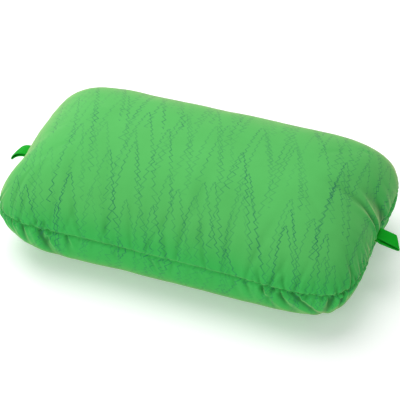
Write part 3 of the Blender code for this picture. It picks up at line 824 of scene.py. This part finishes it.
def tape_loop(side, droop, out, fold, skew, curl, spread):
    """The folded tape: its fold slants by skew, its end curls down, and its lower leg is spread."""
    run, points = tape_path(droop, out, fold)
    bm = bmesh.new()
    tape_layer = bm.loops.layers.uv.new("tape")
    bmesh.ops.create_grid(bm, x_segments=96, y_segments=10, size=1.0)
    bm.verts.index_update()
    flat = [(corner.co.x, corner.co.y) for corner in bm.verts]
    for corner, (along, aside) in zip(bm.verts, flat):
        spot = (along + 1) / 2 * run[-1]
        out, up = np.interp(spot, run, points[:, 0]), np.interp(spot, run, points[:, 1])
        reached = min(max(out / loop_reach, 0.0), 1.0)
        slant = -aside * skew * reached**1.5
        out += slant * math.cos(droop)
        up -= slant * math.sin(droop) * 1.3 + curl * reached**3 + 0.0006 * reached * aside**2
        lower = min(max((along + 0.2) / 0.4, 0.0), 1.0)
        bow = spread * lower * (1 - reached)
        y = aside * tape_width / 2 - bow
        up -= 0.35 * bow * min(max(out / 0.003, 0.0), 1.0)
        corner.co = (side * (hinge_out + out), y, seam_height + up)
    for face in bm.faces:
        face.smooth = True
        for corner in face.loops:
            along, aside = flat[corner.vert.index]
            corner[tape_layer].uv = ((along + 1) / 2 * run[-1], aside * tape_width / 2)
    if side < 0:
        bmesh.ops.reverse_faces(bm, faces=bm.faces)
    return bm


# Side, droop in degrees, how far out, the fold's radius, skew, curl and spread.
for loop_side, side, droop, out, fold, skew, curl, spread in (
    ("left", -1, -6, 0.0196, 0.0020, 0.0010, 0.0105, 0.0010),
    ("right", 1, 18, 0.0182, 0.0013, 0.0048, 0.0, 0.0036),
):
    loop_mesh = tape_loop(side, math.radians(droop), out, fold, skew, curl, spread)
    loop = add_piece(f"tape_loop_{loop_side}", loop_mesh, tape_material)
    loop_wall = loop.modifiers.new("wall", "SOLIDIFY")
    loop_wall.thickness, loop_wall.offset = tape_thick, 0.0
    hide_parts(f"loop_{loop_side}", f"loop_{loop_side}_tail")
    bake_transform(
        loop,
        "pillow",
        f"loop_{loop_side}",
        start=(side * (hinge_out - 0.0012), 0.0, seam_height),
        end=(side * (hinge_out + 0.0012), 0.0, seam_height),
    )

# Zip: a nylon coil zip in the back seam, so that the cover comes off for washing. Two woven tapes
# are sewn behind the edges of the cover, each with a coil along its inner edge.
zip_tape_material, zip_tape_tree, zip_tape_shader = new_material("zip_tape_twill")
zip_place = object_place(zip_tape_tree)
zip_spot = zip_tape_tree.nodes.new("ShaderNodeSeparateXYZ")
zip_tape_tree.links.new(zip_place, zip_spot.inputs["Vector"])
twill = calc(zip_tape_tree, "ADD", zip_spot.outputs["X"], zip_spot.outputs["Z"])
twill = calc(zip_tape_tree, "PINGPONG", calc(zip_tape_tree, "DIVIDE", twill, 0.0009), 0.5)
zip_tone = cloud(zip_tape_tree, zip_place, 250.0)
zip_tape_colour = blend_colours(zip_tape_tree, zip_tone, (0.010, 0.20, 0.03), (0.02, 0.26, 0.04))
zip_tape_tree.links.new(zip_tape_colour, zip_tape_shader.inputs["Base Color"])
zip_tape_shader.inputs["Roughness"].default_value = 0.75
raise_surface(zip_tape_tree, zip_tape_shader, twill, 0.0003, 0.6)


def fill_box(bm, low, high):
    """Stretches a mesh one metre across over a box."""
    for corner in bm.verts:
        corner.co = Vector(low) + Vector(
            (axis + 0.5) * (to - start) for axis, start, to in zip(corner.co, low, high)
        )


for zip_side, side in (("lower", -1), ("upper", 1)):
    low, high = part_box(f"zip_tape_{zip_side}")
    strip = bmesh.new()
    bmesh.ops.create_cube(strip, size=1.0)
    long_edges = [edge for edge in strip.edges if edge.verts[0].co.x != edge.verts[1].co.x]
    bmesh.ops.subdivide_edges(strip, edges=long_edges, cuts=94)
    fill_box(strip, low, high)
    for corner in strip.verts:
        if side * (corner.co.z - seam_height) > 0.005:
            corner.co.z += 0.0003 * math.sin(corner.co.x * 260.0 + side)
    zip_tape = add_piece(f"zip_tape_{zip_side}_woven", strip, zip_tape_material)
    tape_edge = zip_tape.modifiers.new("edge", "BEVEL")
    tape_edge.width, tape_edge.segments, tape_edge.limit_method = 0.0002, 2, "ANGLE"
    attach(zip_tape, "pillow")
    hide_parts(f"zip_tape_{zip_side}")

# Zip coils: one stiff nylon thread is wound into a flat spiral along each tape, and the turns of
# the two spirals lock between each other at the middle.
coil_material, coil_tree, coil_shader = new_material("nylon_coil")
coil_tone = cloud(coil_tree, object_place(coil_tree), 500.0)
coil_colour = blend_colours(coil_tree, coil_tone, (0.008, 0.19, 0.025), (0.015, 0.25, 0.035))
coil_tree.links.new(coil_colour, coil_shader.inputs["Base Color"])
coil_shader.inputs["Roughness"].default_value = 0.35
coil_pitch, coil_thread, coil_overlap = 0.0016, 0.00032, 0.00045


def thread_curve(name, points, radius, material):
    """A round thread through the points."""
    curve = bpy.data.curves.new(name, "CURVE")
    curve.dimensions = "3D"
    curve.bevel_depth = radius
    curve.bevel_resolution = 1
    curve.use_fill_caps = True
    spline = curve.splines.new("POLY")
    spline.points.add(len(points) - 1)
    for spot, point in zip(spline.points, points):
        spot.co = (*point, 1.0)
    curve.materials.append(material)
    return new_object(name, curve)


for zip_side, side in (("lower", -1), ("upper", 1)):
    low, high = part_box(f"zip_coil_{zip_side}")
    middle_y, half_deep = (low[1] + high[1]) / 2, (high[1] - low[1]) / 2 - coil_thread
    outer = (low[2] if side < 0 else high[2]) - side * coil_thread
    inner = seam_height - side * coil_overlap
    middle_z, half_wide = (outer + inner) / 2, abs(outer - inner) / 2
    turns = int((high[0] - low[0] - 2 * coil_thread) / coil_pitch)
    coil_start = low[0] + coil_thread
    shift = 0.45 if side < 0 else 0.0
    coil_points = []
    for step in range(turns * 10 + 1):
        turn = 2 * math.pi * step / 10
        wound = math.copysign(abs(math.cos(turn)) ** 0.7, math.cos(turn))
        coil_points.append(
            (
                coil_start + coil_pitch * (step / 10 + shift),
                middle_y + half_deep * math.sin(turn),
                middle_z + half_wide * wound * side,
            )
        )
    coil = thread_curve(f"zip_coil_{zip_side}_wound", coil_points, coil_thread, coil_material)
    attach(coil, "pillow")
    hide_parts(f"zip_coil_{zip_side}")

# Zip stops: small nylon blocks pressed over the ends of the coils, one across both coils at one
# end and one on each at the other end, so that the slider can't run off.
def round_edges(bm, edges, offset, segments):
    bmesh.ops.bevel(
        bm, geom=edges, offset=offset, segments=segments, profile=0.5, affect="EDGES", material=-1
    )


for stop_name in ("zip_bottom_stop", "zip_top_stop_lower", "zip_top_stop_upper"):
    low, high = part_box(stop_name)
    stop_mesh = bmesh.new()
    bmesh.ops.create_cube(stop_mesh, size=1.0)
    fill_box(stop_mesh, low, high)
    round_edges(stop_mesh, stop_mesh.edges[:], 0.0005, 3)
    for face in stop_mesh.faces:
        face.smooth = True
    stop = add_piece(f"{stop_name}_block", stop_mesh, coil_material)
    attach(stop, "pillow")
    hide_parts(stop_name)

# Zip stitches: one row of the same thread on each side of the coils. It goes through the cover
# and the tape behind it, and lies on the cover.
zip_gap, zip_thread = 0.0008, 0.00026
for zip_side in ("lower", "upper"):
    low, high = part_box(f"zip_thread_{zip_side}")
    row_y, row_z = high[1] + 0.0003, (low[2] + high[2]) / 2
    row_points = np.array([(low[0], row_y, row_z), (high[0], row_y, row_z)])
    row_outwards = np.array([(0.0, 1.0, 0.0), (0.0, 1.0, 0.0)])
    row_mesh = stitch_row(row_points, row_outwards, stitch_length, zip_gap, zip_thread)
    row = add_piece(f"zip_stitches_{zip_side}", row_mesh, thread_material)
    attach(row, "pillow")
    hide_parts(f"zip_thread_{zip_side}")

# Zip slider: a small painted casting. Two plates run on each side of the tapes, joined by a
# divider that parts the coils, and a bridge on the front plate holds the pull.
paint_material, paint_tree, paint_shader = new_material("painted_zinc")
paint_place = object_place(paint_tree)
paint_tone = cloud(paint_tree, paint_place, 120.0)
paint_colour = blend_colours(paint_tree, paint_tone, (0.015, 0.24, 0.035), (0.022, 0.30, 0.045))
paint_tree.links.new(paint_colour, paint_shader.inputs["Base Color"])
paint_rough = ramp(paint_tree, cloud(paint_tree, paint_place, 900.0), 0.3, 0.7, 0.28, 0.42)
paint_tree.links.new(paint_rough, paint_shader.inputs["Roughness"])
paint_shader.inputs["Metallic"].default_value = 0.35
raise_surface(paint_tree, paint_shader, cloud(paint_tree, paint_place, 1500.0), 0.00004)

slider_low, slider_high = (Vector(corner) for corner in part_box("zip_slider"))
tape_low, tape_high = (Vector(corner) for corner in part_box("zip_tape_upper"))
coil_high = Vector(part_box("zip_coil_upper")[1])


def plate(bm, low, high, nose, rounding):
    """A plate between two heights in Y, narrower at its far end by nose on each side."""
    made = bmesh.ops.create_cube(bm, size=1.0)["verts"]
    for corner in made:
        narrow = nose if corner.co.x > 0 else 0.0
        across = math.copysign((high[2] - low[2]) / 2 - narrow, corner.co.z)
        corner.co = (
            low[0] if corner.co.x < 0 else high[0],
            low[1] if corner.co.y < 0 else high[1],
            (low[2] + high[2]) / 2 + across,
        )
    round_edges(bm, list({edge for corner in made for edge in corner.link_edges}), rounding, 3)


slider_mesh = bmesh.new()
running_gap = 0.0003
front_floor = coil_high.y + running_gap
plate(
    slider_mesh,
    (slider_low.x, front_floor, slider_low.z),
    (slider_high.x, front_floor + 0.0010, slider_high.z),
    0.0009,
    0.0004,
)
plate(
    slider_mesh,
    (slider_low.x, slider_low.y, slider_low.z),
    (slider_high.x, tape_low.y - running_gap, slider_high.z),
    0.0009,
    0.0003,
)
for side in (-1, 1):
    lip = sorted((seam_height + side * 0.0031, seam_height + side * 0.0040))
    plate(
        slider_mesh,
        (slider_low.x + 0.0004, tape_high.y + running_gap, lip[0]),
        (slider_high.x - 0.0008, front_floor + 0.0004, lip[1]),
        0.0,
        0.0002,
    )
plate(
    slider_mesh,
    (slider_low.x + 0.0003, slider_low.y + 0.0004, seam_height - 0.0003),
    (slider_low.x + 0.0032, front_floor + 0.0004, seam_height + 0.0003),
    0.0,
    0.0001,
)
bridge_middle = (slider_low.x + slider_high.x) / 2
bridge_root, bridge_foot = front_floor + 0.0007, front_floor + 0.0011
bridge_profile = bmesh.ops.create_circle(
    slider_mesh,
    cap_ends=True,
    segments=10,
    radius=0.00065,
    matrix=Matrix.Translation((bridge_middle - 0.0029, bridge_root, seam_height))
    @ Matrix.Rotation(math.pi / 2, 4, "X"),
)["verts"]
bridge_faces = list({face for corner in bridge_profile for face in corner.link_faces})
bmesh.ops.spin(
    slider_mesh,
    geom=bridge_faces,
    cent=(bridge_middle, bridge_root, seam_height),
    axis=(0.0, 0.0, 1.0),
    angle=-math.pi,
    steps=16,
)
bridge_verts = {
    corner
    for corner in slider_mesh.verts
    if abs(corner.co.z - seam_height) < 0.0007 and corner.co.y > bridge_foot
}
arch = max(corner.co.y for corner in bridge_verts) - bridge_foot
for corner in bridge_verts:
    share = (corner.co.y - bridge_foot) / arch
    corner.co.y = bridge_foot + share * (slider_high.y - front_floor - 0.0011)
bmesh.ops.recalc_face_normals(slider_mesh, faces=slider_mesh.faces)
for face in slider_mesh.faces:
    face.smooth = True
slider = add_piece("slider_casting", slider_mesh, paint_material)
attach(slider, "zip_slider")
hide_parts("zip_slider")

# Zip pull: a flat painted tab, cast in zinc as the slider is. Its end bar turns in the bridge,
# and both its faces are sunk inside a rim.
def deep_edges(bm):
    """The edges that run through from front to back."""
    return [edge for edge in bm.edges if abs(edge.verts[0].co.y - edge.verts[1].co.y) > 0.0005]


pull_low, pull_high = (Vector(corner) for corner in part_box("zip_pull"))
pull_mesh = bmesh.new()
bmesh.ops.create_cube(pull_mesh, size=1.0)
fill_box(pull_mesh, pull_low, pull_high)
round_edges(pull_mesh, deep_edges(pull_mesh), 0.0014, 6)
flat_faces = [face for face in pull_mesh.faces if abs(face.normal.y) > 0.9]
bmesh.ops.inset_region(pull_mesh, faces=flat_faces, thickness=0.0011, depth=0.0)
pull_mesh.normal_update()
flat_faces = [face for face in flat_faces if face.is_valid]
bmesh.ops.inset_individual(pull_mesh, faces=flat_faces, thickness=0.0002, depth=-0.00022)
pull = add_piece("pull_tab", pull_mesh, paint_material)
eye_mesh = bmesh.new()
bmesh.ops.create_cube(eye_mesh, size=1.0)
for corner in eye_mesh.verts:
    corner.co = (
        pull_low.x + 0.0011 + (corner.co.x + 0.5) * 0.0036,
        (pull_low.y + pull_high.y) / 2 + corner.co.y * 0.004,
        seam_height + corner.co.z * 0.0034,
    )
round_edges(eye_mesh, deep_edges(eye_mesh), 0.0008, 4)
eye = add_piece("pull_eye", eye_mesh)
pull_cut = pull.modifiers.new("eye", "BOOLEAN")
pull_cut.operation, pull_cut.solver, pull_cut.object = "DIFFERENCE", "EXACT", eye
pull_edge = pull.modifiers.new("edge", "BEVEL")
pull_edge.width, pull_edge.segments, pull_edge.limit_method = 0.00015, 2, "ANGLE"
cut_pull = applied(pull)
pull.modifiers.clear()
pull.data = cut_pull
bpy.data.objects.remove(eye)
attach(pull, "zip_pull")
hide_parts("zip_pull")
